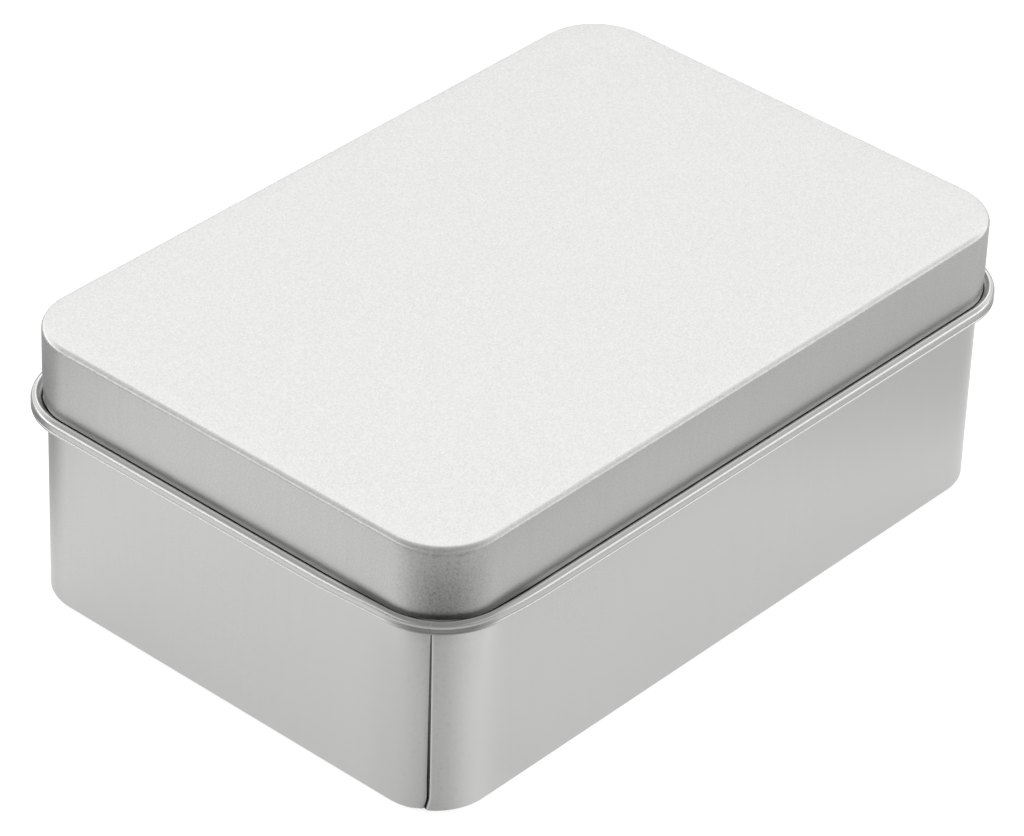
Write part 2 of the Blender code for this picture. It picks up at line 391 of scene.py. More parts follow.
class SheetSweep:
    """A Geometry Nodes tree that carries a sheet's section round a rounded rectangle.

    The section's mesh has an "outer" attribute, which is 1 on the face that shows outside and 0 on the other.
    """

    INPUTS = (
        *("Length", "Width", "Corner Radius", "Long Cells", "Short Cells", "Corner Cells"),
        *("Ripple Depth", "Ripple Size", "Ripple Fade", "Finish"),
    )

    def __init__(self, name: str, sizes: Mapping[str, object]) -> None:
        """Builds the tree.

        Args:
            name: The tree's name.
            sizes: What its inputs are going to get, by name. Their kinds are taken from it.
        """
        self.tree = bpy.data.node_groups.new(name, "GeometryNodeTree")
        interface = self.tree.interface
        interface.new_socket("Section", in_out="INPUT", socket_type="NodeSocketGeometry")
        for label in self.INPUTS:
            interface.new_socket(label, in_out="INPUT", socket_type=SOCKETS[type(sizes[label])])
        interface.new_socket("Sheet", in_out="OUTPUT", socket_type="NodeSocketGeometry")
        self.graph = Graph(self.tree)
        self.given = self.graph.add("NodeGroupInput")
        radius = self.given["Corner Radius"]
        core_length = self.given["Length"] * HALF - radius
        core_width = self.given["Width"] * HALF - radius
        self.core_reach = self.graph.joined(core_length, core_width, 0.0)
        self.finish(self.completed(self.carried()))

    def outward(self, place: Value) -> tuple[Value, Value]:
        """Finds how a place lies to the rectangle of the corners' centres.

        Args:
            place: A place on the plan's edge.

        Returns:
            The nearest place of that rectangle, and the way outward from it.
        """
        graph = self.graph
        low = graph.scaled(self.core_reach, -1.0)
        core = graph.vector("MINIMUM", graph.vector("MAXIMUM", place, low), self.core_reach)
        return core, graph.vector("NORMALIZE", graph.vector("SUBTRACT", place, core))

    def corner_cuts(self, place: Value) -> Number:
        """Returns how many more cuts a corner's cell gets at a place: none, on a plain sheet."""
        del place
        return 0.0

    def rounded_path(self) -> Value:
        """Makes the plan's edge as a closed curve, with even cells on its sides and corners.

        Returns:
            The curve.
        """
        graph, given = self.graph, self.given
        sizes = {"Width": given["Length"], "Height": given["Width"]}
        rectangle = graph.add("GeometryNodeCurvePrimitiveQuadrilateral", {"mode": "RECTANGLE"}, sizes)[0]
        sizes = {"Curve": rectangle, "Count": given["Corner Cells"], "Radius": given["Corner Radius"]}
        rounded = graph.add("GeometryNodeFilletCurve", {"mode": "POLY"}, sizes)[0]
        place = graph.add("GeometryNodeInputPosition")[0]
        index = graph.add("GeometryNodeInputIndex")[0]
        turn = index % (given["Corner Cells"] + 1)
        starts_side = graph.maths("COMPARE", turn, given["Corner Cells"], HALF)
        off_long_side = abs(graph.parts(place)[1]) - given["Width"] * HALF
        on_long_side = graph.maths("COMPARE", off_long_side, 0.0, WELD)
        side_cells = graph.mix(MixKind.NUMBER, on_long_side, given["Short Cells"], given["Long Cells"])
        cuts = graph.mix(MixKind.NUMBER, starts_side, self.corner_cuts(place), side_cells - 1)
        finer = graph.add("GeometryNodeSubdivideCurve", inputs={"Curve": rounded, "Cuts": cuts})[0]
        core, way = self.outward(place)
        on_edge = graph.vector("ADD", core, graph.scaled(way, given["Corner Radius"]))
        return graph.add("GeometryNodeSetPosition", inputs={"Geometry": finer, "Position": on_edge})[0]

    def captured(self, geometry: Value, place: Value) -> tuple[Value, Value]:
        """Keeps a curve's places for the mesh that is made from it.

        Args:
            geometry: The curve.
            place: The value to keep.

        Returns:
            The curve that carries the places, and the places.
        """
        capture = self.tree.nodes.new("GeometryNodeCaptureAttribute")
        capture.capture_items.new("VECTOR", "Place")
        self.tree.links.new(geometry.socket, capture.inputs["Geometry"])
        self.tree.links.new(place.socket, capture.inputs["Place"])
        node = Node(self.graph, capture)
        return node["Geometry"], node["Place"]

    def carried(self) -> Value:
        """Carries the section round the plan's edge.

        Returns:
            The sheet's mesh.
        """
        graph = self.graph
        place = graph.add("GeometryNodeInputPosition")[0]
        path, footprint = self.captured(self.rounded_path(), place)
        line = graph.add("GeometryNodeMeshToCurve", inputs={"Mesh": self.given["Section"]})[0]
        profile, section = self.captured(line, place)
        swept = graph.add("GeometryNodeCurveToMesh", inputs={"Curve": path, "Profile Curve": profile})[0]
        core, way = self.outward(footprint)
        reach, height = self.shaped(core, way, *graph.parts(section)[:2])
        level = graph.scaled(way, reach + self.given["Corner Radius"])
        moved = graph.vector("ADD", graph.vector("ADD", core, level), graph.joined(0.0, 0.0, height))
        return graph.add("GeometryNodeSetPosition", inputs={"Geometry": swept, "Position": moved})[0]

    def shaped(self, core: Value, way: Value, reach: Value, height: Value) -> tuple[Value, Value]:
        """Gives the sheet the shallow ripple that bent tinplate has.

        Args:
            core: The corner's centre, or the place of the centres' rectangle beside a side.
            way: The way outward.
            reach: How far outward of the plan the section is.
            height: How high it is.

        Returns:
            The reach and the height that the sheet has there.
        """
        graph, given = self.graph, self.given
        spot = graph.vector("ADD", core, graph.scaled(way, given["Corner Radius"]))
        spot = graph.vector("ADD", spot, graph.joined(0.0, 0.0, height))
        spot = graph.scaled(spot, 1.0 / given["Ripple Size"])
        wave = graph.add("ShaderNodeTexNoise", inputs={"Vector": spot, "Scale": 1.0, "Detail": 1.0})["Fac"]
        return reach - wave * given["Ripple Depth"] * self.at_edge(reach), height

    def at_edge(self, reach: Value) -> Value:
        """Returns 1 near the plan's edge, and 0 where the sheet lies well inside it."""
        return reach.between(self.given["Ripple Fade"] * -2.0, self.given["Ripple Fade"] * -1.0)

    def seam_way(self) -> Value:
        """Returns the way that the seam faces, in a tree with the input Seam Facing."""
        turn = self.given["Seam Facing"]
        return self.graph.joined(self.graph.maths("COSINE", turn), self.graph.maths("SINE", turn), 0.0)

    def into_seam_corner(self, core: Value, way: Value) -> Value:
        """Finds how far into the seam's corner a place is. The tree has inputs Seam Facing and Lift Reach.

        Args:
            core: The corner's centre, or the place of the centres' rectangle beside a side.
            way: The way outward.

        Returns:
            0 away from the corner, and 1 where the seam is.
        """
        graph, given, facing = self.graph, self.given, self.seam_way()
        towards = graph.dot(core, facing) + graph.dot(way, facing) * given["Corner Radius"]
        most = graph.dot(self.core_reach, graph.vector("ABSOLUTE", facing)) + given["Corner Radius"]
        return towards.between(most - given["Lift Reach"], most)

    def completed(self, sheet: Value) -> Value:
        """Returns the carried sheet as it is, because the wall has no field."""
        return sheet

    def finish(self, sheet: Value) -> None:
        """Gives the sheet its finish and ends the tree.

        Args:
            sheet: The sheet's mesh.
        """
        graph = self.graph
        smooth = graph.add("GeometryNodeSetShadeSmooth", inputs={"Geometry": sheet})[0]
        real = graph.add("GeometryNodeRealizeInstances", inputs={"Geometry": smooth})[0]
        inputs = {"Geometry": real, "Material": self.given["Finish"]}
        painted = graph.add("GeometryNodeSetMaterial", inputs=inputs)[0]
        graph.add("NodeGroupOutput", inputs={"Sheet": painted})


class FieldSweep(SheetSweep):
    """A sweep of a section that starts and ends at the corners' centres, with a flat field between them."""

    INPUTS = (*SheetSweep.INPUTS, "Upper Field Height", "Lower Field Height")

    def completed(self, sheet: Value) -> Value:
        """Fills the flat field.

        Args:
            sheet: The sheet round the field, whose two edges lie on the field's border.

        Returns:
            The whole sheet.
        """
        graph, given = self.graph, self.given
        core_length, core_width, _ = graph.parts(self.core_reach)
        join = graph.add("GeometryNodeJoinGeometry")
        for label, is_underside in (("Upper Field Height", False), ("Lower Field Height", True)):
            inputs = {
                "Size X": core_length * 2,
                "Size Y": core_width * 2,
                "Vertices X": given["Long Cells"] + 1,
                "Vertices Y": given["Short Cells"] + 1,
            }
            grid = graph.add("GeometryNodeMeshGrid", inputs=inputs)[0]
            rise = graph.joined(0.0, 0.0, given[label])
            grid = graph.add("GeometryNodeSetPosition", inputs={"Geometry": grid, "Offset": rise})[0]
            if is_underside:
                grid = graph.add("GeometryNodeFlipFaces", inputs={"Mesh": grid})[0]
            self.tree.links.new(grid.socket, join.node.inputs[0])
        self.tree.links.new(sheet.socket, join.node.inputs[0])
        return graph.add("GeometryNodeMergeByDistance", inputs={"Geometry": join[0], "Distance": WELD})[0]


class LidSweep(FieldSweep):
    """The lid's sweep: its lower edge is flattened at each corner, and rides higher over the wall's seam."""

    INPUTS = (
        *FieldSweep.INPUTS,
        *("Seam Facing", "Lift Reach", "Lift", "Edge Height", "Flat Facing", "Flat Half Angle"),
        *("Corner Rise", "Corner Tuck", "Corner Rise Depth"),
    )

    def shaped(self, core: Value, way: Value, reach: Value, height: Value) -> tuple[Value, Value]:
        """Adds the corners' flats to the ripple. The arguments and results are as in SheetSweep."""
        graph, given = self.graph, self.given
        reach, height = super().shaped(core, way, reach, height)
        way_x, way_y, _ = graph.parts(way)
        facing = graph.maths("COSINE", given["Flat Facing"]) * abs(way_x)
        facing = facing + graph.maths("SINE", given["Flat Facing"]) * abs(way_y)
        least = graph.maths("COSINE", given["Flat Half Angle"])
        flat = ((facing - least) / (1.0 - least)).clamped()
        top = given["Edge Height"] + given["Corner Rise Depth"]
        near_edge = 1.0 - height.between(given["Edge Height"], top)
        skirt_only = self.at_edge(reach)
        pull = flat * near_edge * skirt_only
        lifted = self.into_seam_corner(core, way) * near_edge * skirt_only
        rise = pull * given["Corner Rise"] + lifted * given["Lift"]
        return reach - pull * given["Corner Tuck"], height + rise


class WallSweep(SheetSweep):
    """The wall's sweep, with the lock seam where the strip's two ends meet."""

    INPUTS = (
        *SheetSweep.INPUTS,
        *("Seam Facing", "Seam Window", "Seam Cuts", "Seam Lean", "Seam Depth", "Gap At Foot", "Gap At Bead"),
        *("Left Lip", "Right Lip", "Crease Offset", "Crease Width", "Crease Depth", "Bead Bottom"),
        *("Bead Groove", "Lift Reach", "Bead Reach", "Bead Lift", "Bead Tuck", "Dip Top", "Dip Middle"),
        *("Dip Bottom", "Dip Depth", "Foot Height", "Foot Shift", "Foot Lift"),
        *("Fold Width", "Fold Depth", "Fold Chamfer"),
    )
    FOLD_SHARE = 0.25
    NOSE_SHARES = (0.5, 0.8)

    def along(self, way: Value) -> Value:
        """Measures how far past the seam's middle a place is, round the corner.

        Args:
            way: The way outward there.

        Returns:
            The distance, positive towards the long side.
        """
        graph, facing = self.graph, self.seam_way()
        across = graph.parts(graph.vector("CROSS_PRODUCT", facing, way))[2]
        behind = graph.maths("LESS_THAN", graph.dot(facing, way), 0.0)
        return (across + behind * 2) * self.given["Corner Radius"]

    def corner_cuts(self, place: Value) -> Number:
        """Returns the further cuts of the cells that the seam crosses."""
        off_seam = abs(self.along(self.outward(place)[1]))
        return self.graph.maths("LESS_THAN", off_seam, self.given["Seam Window"]) * self.given["Seam Cuts"]

    def lip(self, distance: Value, width: Value) -> Value:
        """Returns a round lip's sinking, from 0 at its width from the gap to 1 at the gap."""
        share = (1.0 - distance / width).clamped()
        return 1.0 - self.graph.maths("SQRT", 1.0 - share * share)

    def groove(self, along: Value, height: Value) -> Value:
        """Returns how deep the seam's gap, its two lips and the crease beside it are sunk.

        Args:
            along: How far past the seam's middle the place is.
            height: How high it is.

        Returns:
            The depth.
        """
        graph, given = self.graph, self.given
        share_up = (height / given["Bead Bottom"]).clamped()
        gap = graph.mix(MixKind.NUMBER, share_up, given["Gap At Foot"], given["Gap At Bead"])
        left = self.lip(along * -1.0 - gap * HALF, given["Left Lip"])
        right = self.lip(along - gap * HALF, given["Right Lip"])
        above = height.between(given["Bead Bottom"] - FIT_GAP, given["Bead Bottom"] + FIT_GAP)
        depth = graph.mix(MixKind.NUMBER, above, given["Seam Depth"], given["Bead Groove"])
        crease = along.bell(given["Crease Offset"], given["Crease Width"]) * given["Crease Depth"]
        return graph.maths("MINIMUM", left, right) * depth + crease * (1.0 - above)

    def fold(self, along: Value, height: Value) -> Value:
        """Returns how far the seam's fold stands in behind the wall.

        Args:
            along: How far past the seam's middle the place is.
            height: How high it is.

        Returns:
            The distance.
        """
        given = self.given
        chamfer = given["Fold Chamfer"]
        start = given["Fold Width"] * -(1 - self.FOLD_SHARE)
        end = given["Fold Width"] * self.FOLD_SHARE
        across = along.between(start, start + chamfer) * (1.0 - along.between(end - chamfer, end))
        low = height.between(given["Foot Height"], given["Foot Height"] + chamfer)
        top = given["Bead Bottom"] - chamfer * 2
        high = 1.0 - height.between(top - chamfer, top)
        return across * low * high * given["Fold Depth"]

    def nose_dip(self, reach: Value, height: Value) -> Value:
        """Returns how deep the hollow is sunk that leaves a thin lip along the bead's lower edge.

        Args:
            reach: How far outward the section is.
            height: How high it is.

        Returns:
            The depth.
        """
        given = self.given
        sinking = 1.0 - height.between(given["Dip Middle"], given["Dip Top"])
        rising = height.between(given["Dip Bottom"], given["Dip Middle"])
        on_nose = reach.between(*(given["Bead Reach"] * share for share in self.NOSE_SHARES))
        return sinking * rising * on_nose * given["Dip Depth"]

    def shaped(self, core: Value, way: Value, reach: Value, height: Value) -> tuple[Value, Value]:
        """Adds the seam and the bead's lip, and lifts the bead at the seam. As in SheetSweep."""
        graph, given = self.graph, self.given
        sunk = self.nose_dip(reach, height)
        lifted = (reach / given["Bead Reach"]).clamped() * self.into_seam_corner(core, way)
        reach, height = super().shaped(core, way, reach, height)
        outer = graph.add("GeometryNodeInputNamedAttribute", inputs={"Name": OUTER})["Attribute"]
        foot = 1.0 - height.between(0.0, given["Foot Height"])
        lean = (height / given["Bead Bottom"]).clamped() * given["Seam Lean"]
        along = self.along(way) + lean + foot * given["Foot Shift"]
        outside = (sunk + self.groove(along, height)) * outer
        inside = self.fold(along, height) * (1.0 - outer)
        before = along.between(given["Left Lip"] * -3.0, given["Left Lip"] * -1.0)
        before = before * graph.maths("LESS_THAN", along, 0.0)
        reach = reach - outside - inside - lifted * given["Bead Tuck"]
        return reach, height + before * foot * given["Foot Lift"] + lifted * given["Bead Lift"]


@dataclass(frozen=True)
class Tinplate:
    """A finish of tinned steel.

    The grain is the fine frosting, the clouds are the broad patches in the tin coat, and the streaks are
    what the press drew down the sheet. Round the corners the colour is darkened as painted shade, which
    stands in for the dark surroundings that the corners mirror, and there the coat is also flecked.
    """

    plan: Plan
    colour: Colour
    roughness: float
    skirt: Span
    # Painted shade round the corners: its depth at the bottom and at the top of the span skirt.
    low_corner_dulling: float
    high_corner_dulling: float
    skirt_fade: float = 0.8 * MM
    # How the corners' painted shade changes with height.
    dulling_rise: float = 1.6
    grain_size: float = 0.30 * MM
    grain_tone: float = 0.05
    grain_height: float = 0.002 * MM
    grain_roughness: float = 0.10
    cloud_size: float = 26.0 * MM
    cloud_tone: float = 0.03
    cloud_roughness: float = 0.06
    streak_size: float = 1.2 * MM
    streak_tone: float = 0.03
    streak_stretch: float = 0.08
    fleck_size: float = 0.7 * MM
    fleck_span: Span = (0.56, 0.66)
    fleck_dulling: float = 0.04

    def past_core(self, graph: Graph, place: Value) -> tuple[Value, Value]:
        """Finds how far past the rectangle of the corners' centres a place is.

        Args:
            graph: The material's graph.
            place: The place on the piece.

        Returns:
            The distance past it along x and along y, neither below zero.
        """
        past = graph.vector("SUBTRACT", graph.vector("ABSOLUTE", place), self.plan.core())
        past_x, past_y, _ = graph.parts(graph.vector("MAXIMUM", past, (0.0, 0.0, 0.0)))
        return past_x, past_y

    def corner(self, graph: Graph, place: Value) -> Value:
        """Returns 0 on the flat sides and 1 in the middle of a corner, for a place on the piece."""
        past_x, past_y = self.past_core(graph, place)
        return past_x * past_y * 2 / (past_x * past_x + past_y * past_y + WELD**2)

    def dulling(self, graph: Graph, place: Value) -> Value:
        """Finds where the colour is darkened: painted shade round the corners, and the corners' flecks.

        Args:
            graph: The material's graph.
            place: The place on the piece.

        Returns:
            0 where nothing is darkened, and up to 1.
        """
        corner = self.corner(graph, place)
        height = graph.parts(place)[2]
        low, high = self.skirt
        # Painted shade at the corners, whose depth changes with height up the skirt.
        share_up = graph.maths("POWER", ((height - low) / (high - low)).clamped(), self.dulling_rise)
        depth = graph.mix(MixKind.NUMBER, share_up, self.low_corner_dulling, self.high_corner_dulling)
        fleck = graph.noise(place, self.fleck_size, MARK_DETAIL).between(*self.fleck_span)
        on_skirt = 1.0 - height.between(high, high + self.skirt_fade)
        return corner * (corner * depth + fleck * self.fleck_dulling) * on_skirt

    def material(self, name: str) -> bpy.types.Material:
        """Builds the material.

        Args:
            name: Its name.

        Returns:
            The material.
        """
        made = bpy.data.materials.new(name)
        made.use_nodes = True
        made.node_tree.nodes.clear()
        graph = Graph(made.node_tree)
        place = graph.add("ShaderNodeTexCoord")["Object"]
        grain = graph.noise(place, self.grain_size) - HALF
        cloud = graph.noise(place, self.cloud_size) - HALF
        drawn = graph.vector("MULTIPLY", place, (1.0, 1.0, self.streak_stretch))
        streak = graph.noise(drawn, self.streak_size) - HALF
        tone = grain * self.grain_tone + cloud * self.cloud_tone + streak * self.streak_tone
        # Takes off the painted shade and the marks, and adds back any painted light.
        tone = tone - self.dulling(graph, place)
        light = (*(part * 2.0 for part in self.colour), 1.0)
        colour = graph.mix(MixKind.COLOUR, (tone * HALF + HALF).clamped(), BLACK, light)
        rough = grain * self.grain_roughness + cloud * self.cloud_roughness + self.roughness
        inputs = {"Strength": 1.0, "Distance": self.grain_height, "Height": grain}
        bump = graph.add("ShaderNodeBump", inputs=inputs)["Normal"]
        inputs = {"Base Color": colour, "Metallic": 1.0, "Roughness": rough, "Normal": bump}
        shader = graph.add("ShaderNodeBsdfPrincipled", inputs=inputs)["BSDF"]
        graph.add("ShaderNodeOutputMaterial", inputs={"Surface": shader})
        return made


@dataclass(frozen=True)
class ScuffedTinplate(Tinplate):
    """The lid's finish: scuffed dark on its top edge and corners, with painted light low on the skirt, by the
    bead.
    """

    # Painted light on the skirt's lowest part, full below the first height and gone above the second.
    burnish: Span = (40.0 * MM, 42.3 * MM)
    burnish_shine: float = 0.65
    edge_scuff: Span = (54.45 * MM, 0.40 * MM)
    edge_scuff_dulling: float = 0.07
    corner_scuff: Span = (53.7 * MM, 0.32 * MM)
    corner_scuff_dulling: float = 0.20
    scuff_size: float = 1.1 * MM
    scuff_span: Span = (0.40, 0.60)

    def dulling(self, graph: Graph, place: Value) -> Value:
        """Adds the scuffs, and takes away painted light low on the skirt.

        Args:
            graph: The material's graph.
            place: The place on the piece.

        Returns:
            Above zero where it is dull, and below zero where it is bright.
        """
        height = graph.parts(place)[2]
        on_edge = height.bell(*self.edge_scuff) * self.edge_scuff_dulling
        below = height.bell(*self.corner_scuff) * self.corner_scuff_dulling
        rubbing_and_painted_shade = graph.noise(place, self.scuff_size, MARK_DETAIL).between(*self.scuff_span)
        # Painted light: the skirt is lightened near its lower edge.
        bright = (1.0 - height.between(*self.burnish)) * self.burnish_shine
        return super().dulling(graph, place) + rubbing_and_painted_shade * (on_edge + below * self.corner(graph, place)) - bright


@dataclass(frozen=True)
class SeamedTinplate(Tinplate):
    """The wall's finish: painted shade in the lock seam's gap, and a painted dark reflection on the bead's
    crest.

    Painted shade darkens the bead's front at the corners and its inner slope near the seam, and painted
    light and shade make one side of the seam paler than the other.
    """

    # Painted reflection: the bead is darkened in this band, standing in for the skirt that it mirrors.
    rub: Span = (40.30 * MM, 40.68 * MM)
    rub_fade: float = 0.06 * MM
    rub_dulling: float = 0.32
    # Painted shade on the bead's front, round the corners.
    bead_front: Span = (38.15 * MM, 39.85 * MM)
    bead_front_dulling: float = 0.50
    bead_front_spread: float = 1.4
    # Painted shade on the bead's inner slope near the seam's corner.
    slope_start: Span = (0.8 * MM, 1.0 * MM)
    slope_end: Span = (2.3 * MM, 2.8 * MM)
    slope_foot: Span = (39.3 * MM, 39.5 * MM)
    slope_tuck: float = 0.35 * MM
    slope_dulling: float = 0.52
    slope_relief: float = 0.35
    slope_ends: Span = (13.6 * MM, 18.5 * MM)
    # Painted light on one side of the seam, stronger just below the bead, and painted shade on the other
    # side.
    pale_side: Span = (6.4 * MM, 3.4 * MM)
    dull_side: Span = (-6.8 * MM, 3.5 * MM)
    side_shine: float = 0.13
    bead_side_shine: float = 0.24
    side_dulling: float = 0.07
    side_rise: float = 7.0
    # Where the seam lies: its gap gets painted shade, deeper at the foot, its left lip painted shade, and its
    # right edge a painted highlight.
    seam_top: float = 38.0 * MM
    seam_lean: float = 0.32 * MM
    seam_foot: float = 3.1 * MM
    foot_shift: float = 0.5 * MM
    gap_at_foot: float = 0.34 * MM
    gap_at_bead: float = 0.06 * MM
    foot_dulling: float = 0.50
    bead_dulling: float = 0.28
    lip_width: float = 1.1 * MM
    lip_dulling: float = 0.26
    edge_width: float = 0.12 * MM
    edge_shine: float = 0.30
    # How far into the corner the seam's painted shade and highlight start.
    mark_start: Span = (0.5, 0.9)

    def dulling(self, graph: Graph, place: Value) -> Value:
        """Adds painted shade in the seam's gap and on its lip, a painted highlight at its edge, painted light
        and shade beside the seam, and painted shade and a painted reflection on the bead's slope, crest and
        front.

        Args:
            graph: The material's graph.
            place: The place on the piece.

        Returns:
            Above zero where it is dull, and below zero where it is bright.
        """
        facing = (math.cos(SEAM_FACING), math.sin(SEAM_FACING), 0.0)
        radius = self.plan.corner_radius
        centre = tuple(math.copysign(reach, side) for reach, side in zip(self.plan.core(), facing))
        off_centre = graph.vector("SUBTRACT", place, centre)
        along = graph.dot(off_centre, (-facing[1], facing[0], 0.0))
        ahead = graph.dot(off_centre, facing)
        height = graph.parts(place)[2]
        share_up = (height / self.seam_top).clamped()
        below_bead = 1.0 - height.between(self.seam_top, self.seam_top + MM)
        sides = self.sides(graph, along, share_up) * ahead.between(0.0, radius * HALF)
        slope = self.slope(graph, place, graph.maths("SQRT", along * along + ahead * ahead))
        gap = graph.mix(MixKind.NUMBER, share_up, self.gap_at_foot, self.gap_at_bead)
        depth = graph.mix(MixKind.NUMBER, share_up, self.foot_dulling, self.bead_dulling)
        along = along + (1.0 - height.between(0.0, self.seam_foot)) * self.foot_shift
        along = along + share_up * self.seam_lean
        # Painted shade in the seam's gap.
        inside = (1.0 - abs(along).between(gap * HALF, gap * HALF + SHEET * HALF)) * depth
        # Painted shade on the seam's left lip, and a painted highlight on its right edge.
        past_lip = (along * -1.0 - gap * HALF) / self.lip_width
        lip = graph.maths("POWER", (1.0 - past_lip).clamped(), 2.0) * past_lip.between(-HALF, 0.0)
        edge = along.bell(gap * HALF + self.edge_width * 2, self.edge_width)
        seam_light_and_shade = inside + lip * self.lip_dulling * (1.0 - share_up * HALF) - edge * self.edge_shine
        near = ahead.between(*(radius * share for share in self.mark_start))
        seam_light_and_shade = (seam_light_and_shade * near + sides) * below_bead
        # Painted reflection on the bead's crest, and painted shade on its slope near the seam; the darker is
        # taken.
        rubbing_and_painted_shade = graph.maths("MAXIMUM", self.band(height, self.rub) * self.rub_dulling, slope)
        # Painted shade on the bead's front round the corners.
        front = (self.corner(graph, place) * self.bead_front_spread).clamped() * self.bead_front_dulling
        return super().dulling(graph, place) + seam_light_and_shade + rubbing_and_painted_shade + front * self.band(height, self.bead_front)

    def sides(self, graph: Graph, along: Value, share_up: Value) -> Value:
        """Finds the painted light and shade to either side of the seam.

        Args:
            graph: The material's graph.
            along: How far past the seam a place is.
            share_up: 0 at the foot and 1 below the bead.

        Returns:
            Above zero where it is painted darker, and below zero where it is painted lighter.
        """
        at_bead = graph.maths("POWER", share_up, self.side_rise)
        # Painted shade on one side of the seam, fading towards the bead, and painted light on the other.
        dull = along.bell(*self.dull_side) * (1.0 - at_bead) * self.side_dulling
        return dull - along.bell(*self.pale_side) * (at_bead * self.bead_side_shine + self.side_shine)

    def slope(self, graph: Graph, place: Value, off_centre: Value) -> Value:
        """Finds the painted shade on the bead's inner slope near the seam's corner.

        Args:
            graph: The material's graph.
            place: The place on the piece.
            off_centre: How far it is from that corner's centre, seen from above.

        Returns:
            0 where there is none, and up to 1.
        """
        near = 1.0 - off_centre.between(*self.slope_ends)
        past_x, past_y = self.past_core(graph, place)
        reach = graph.maths("SQRT", past_x * past_x + past_y * past_y) - self.plan.corner_radius
        inner = reach.between(*self.slope_start) - (reach + near * self.slope_tuck).between(*self.slope_end)
        inner = inner.clamped() * (1.0 - self.corner(graph, place) * self.slope_relief)
        return inner * graph.parts(place)[2].between(*self.slope_foot) * near * self.slope_dulling

    def band(self, height: Value, span: Span) -> Value:
        """Returns 1 between two heights, 0 below and above them."""
        low, high = span
        return height.between(low, low + self.rub_fade) - height.between(high, high + self.rub_fade)


@dataclass(frozen=True)
class TinSheet:
    """What the tin's three sheets share: how each is laid out, and how it is made into a piece."""

    plan: Plan
    finish: Tinplate
    long_cells: int = 24
    short_cells: int = 16
    corner_cells: int = 24
    ripple_depth: float = 0.05 * MM
    ripple_size: float = 28.0 * MM
    ripple_fade: float = 2.2 * MM
    seam_facing: float = SEAM_FACING
    lift_reach: float = 12.4 * MM

    PIECE = ""
    NODE = ""
    BODY = ""
    SLOT = ""
    SWEEP = SheetSweep
    IS_CLOSED = False

    def path(self) -> SheetPath:
        """Returns the middle of the sheet, seen in section, with the face that shows on its right."""
        raise NotImplementedError

    def sizes(self) -> dict[str, object]:
        """Works out what the tree's inputs get. A field such as ripple_size is for the input Ripple Size.

        Returns:
            The sizes and the finish, by the inputs' names.
        """
        fields = vars(self.plan) | vars(self)
        sizes = {name.replace("_", " ").title(): size for name, size in fields.items()}
        return sizes | {"Finish": self.finish.material(f"{self.SLOT}_finish")}

    def section_object(self) -> bpy.types.Object:
        """Makes the section's outline as a mesh of edges.

        Returns:
            The object, in the scene.
        """
        path = self.path()
        outer, inner = path.face(-SHEET / 2), path.face(SHEET / 2)
        outline = inner + outer[::-1]
        edges = [(index, index + 1) for index in range(len(outline) - 1)]
        if self.IS_CLOSED:
            edges.append((len(outline) - 1, 0))
        mesh = bpy.data.meshes.new(f"{self.PIECE}_section")
        mesh.from_pydata([(*place, 0.0) for place in outline], edges, [])
        flags = mesh.attributes.new(OUTER, "FLOAT", "POINT")
        flags.data.foreach_set("value", [0.0] * len(inner) + [1.0] * len(outer))
        section = bpy.data.objects.new(f"{self.PIECE}_section", mesh)
        bpy.context.scene.collection.objects.link(section)
        return section

    def build(self) -> bpy.types.Object:
        """Makes the sheet and puts it in the frame.

        Returns:
            The finished piece.
        """
        section, sizes = self.section_object(), self.sizes()
        tree = self.SWEEP(self.PIECE, sizes).tree
        modifier = section.modifiers.new("sweep", "NODES")
        modifier.node_group = tree
        for item in tree.interface.items_tree:
            if item.name in sizes:
                modifier[item.identifier] = sizes[item.name]
        evaluated = section.evaluated_get(bpy.context.evaluated_depsgraph_get())
        mesh = bpy.data.meshes.new_from_object(evaluated)
        mesh.name = self.PIECE
        bpy.data.objects.remove(section, do_unlink=True)
        mesh.attributes.remove(mesh.attributes[OUTER])
        mesh.materials.clear()
        mesh.materials.append(sizes["Finish"])
        mesh.set_sharp_from_angle(angle=CREASE_ANGLE)
        piece = bpy.data.objects.new(self.PIECE, mesh)
        bpy.context.scene.collection.objects.link(piece)
        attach(piece, self.BODY)
        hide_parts(self.NODE)
        LOG.info("%s: %d faces, on %s", piece.name, len(mesh.polygons), self.BODY)
        return piece


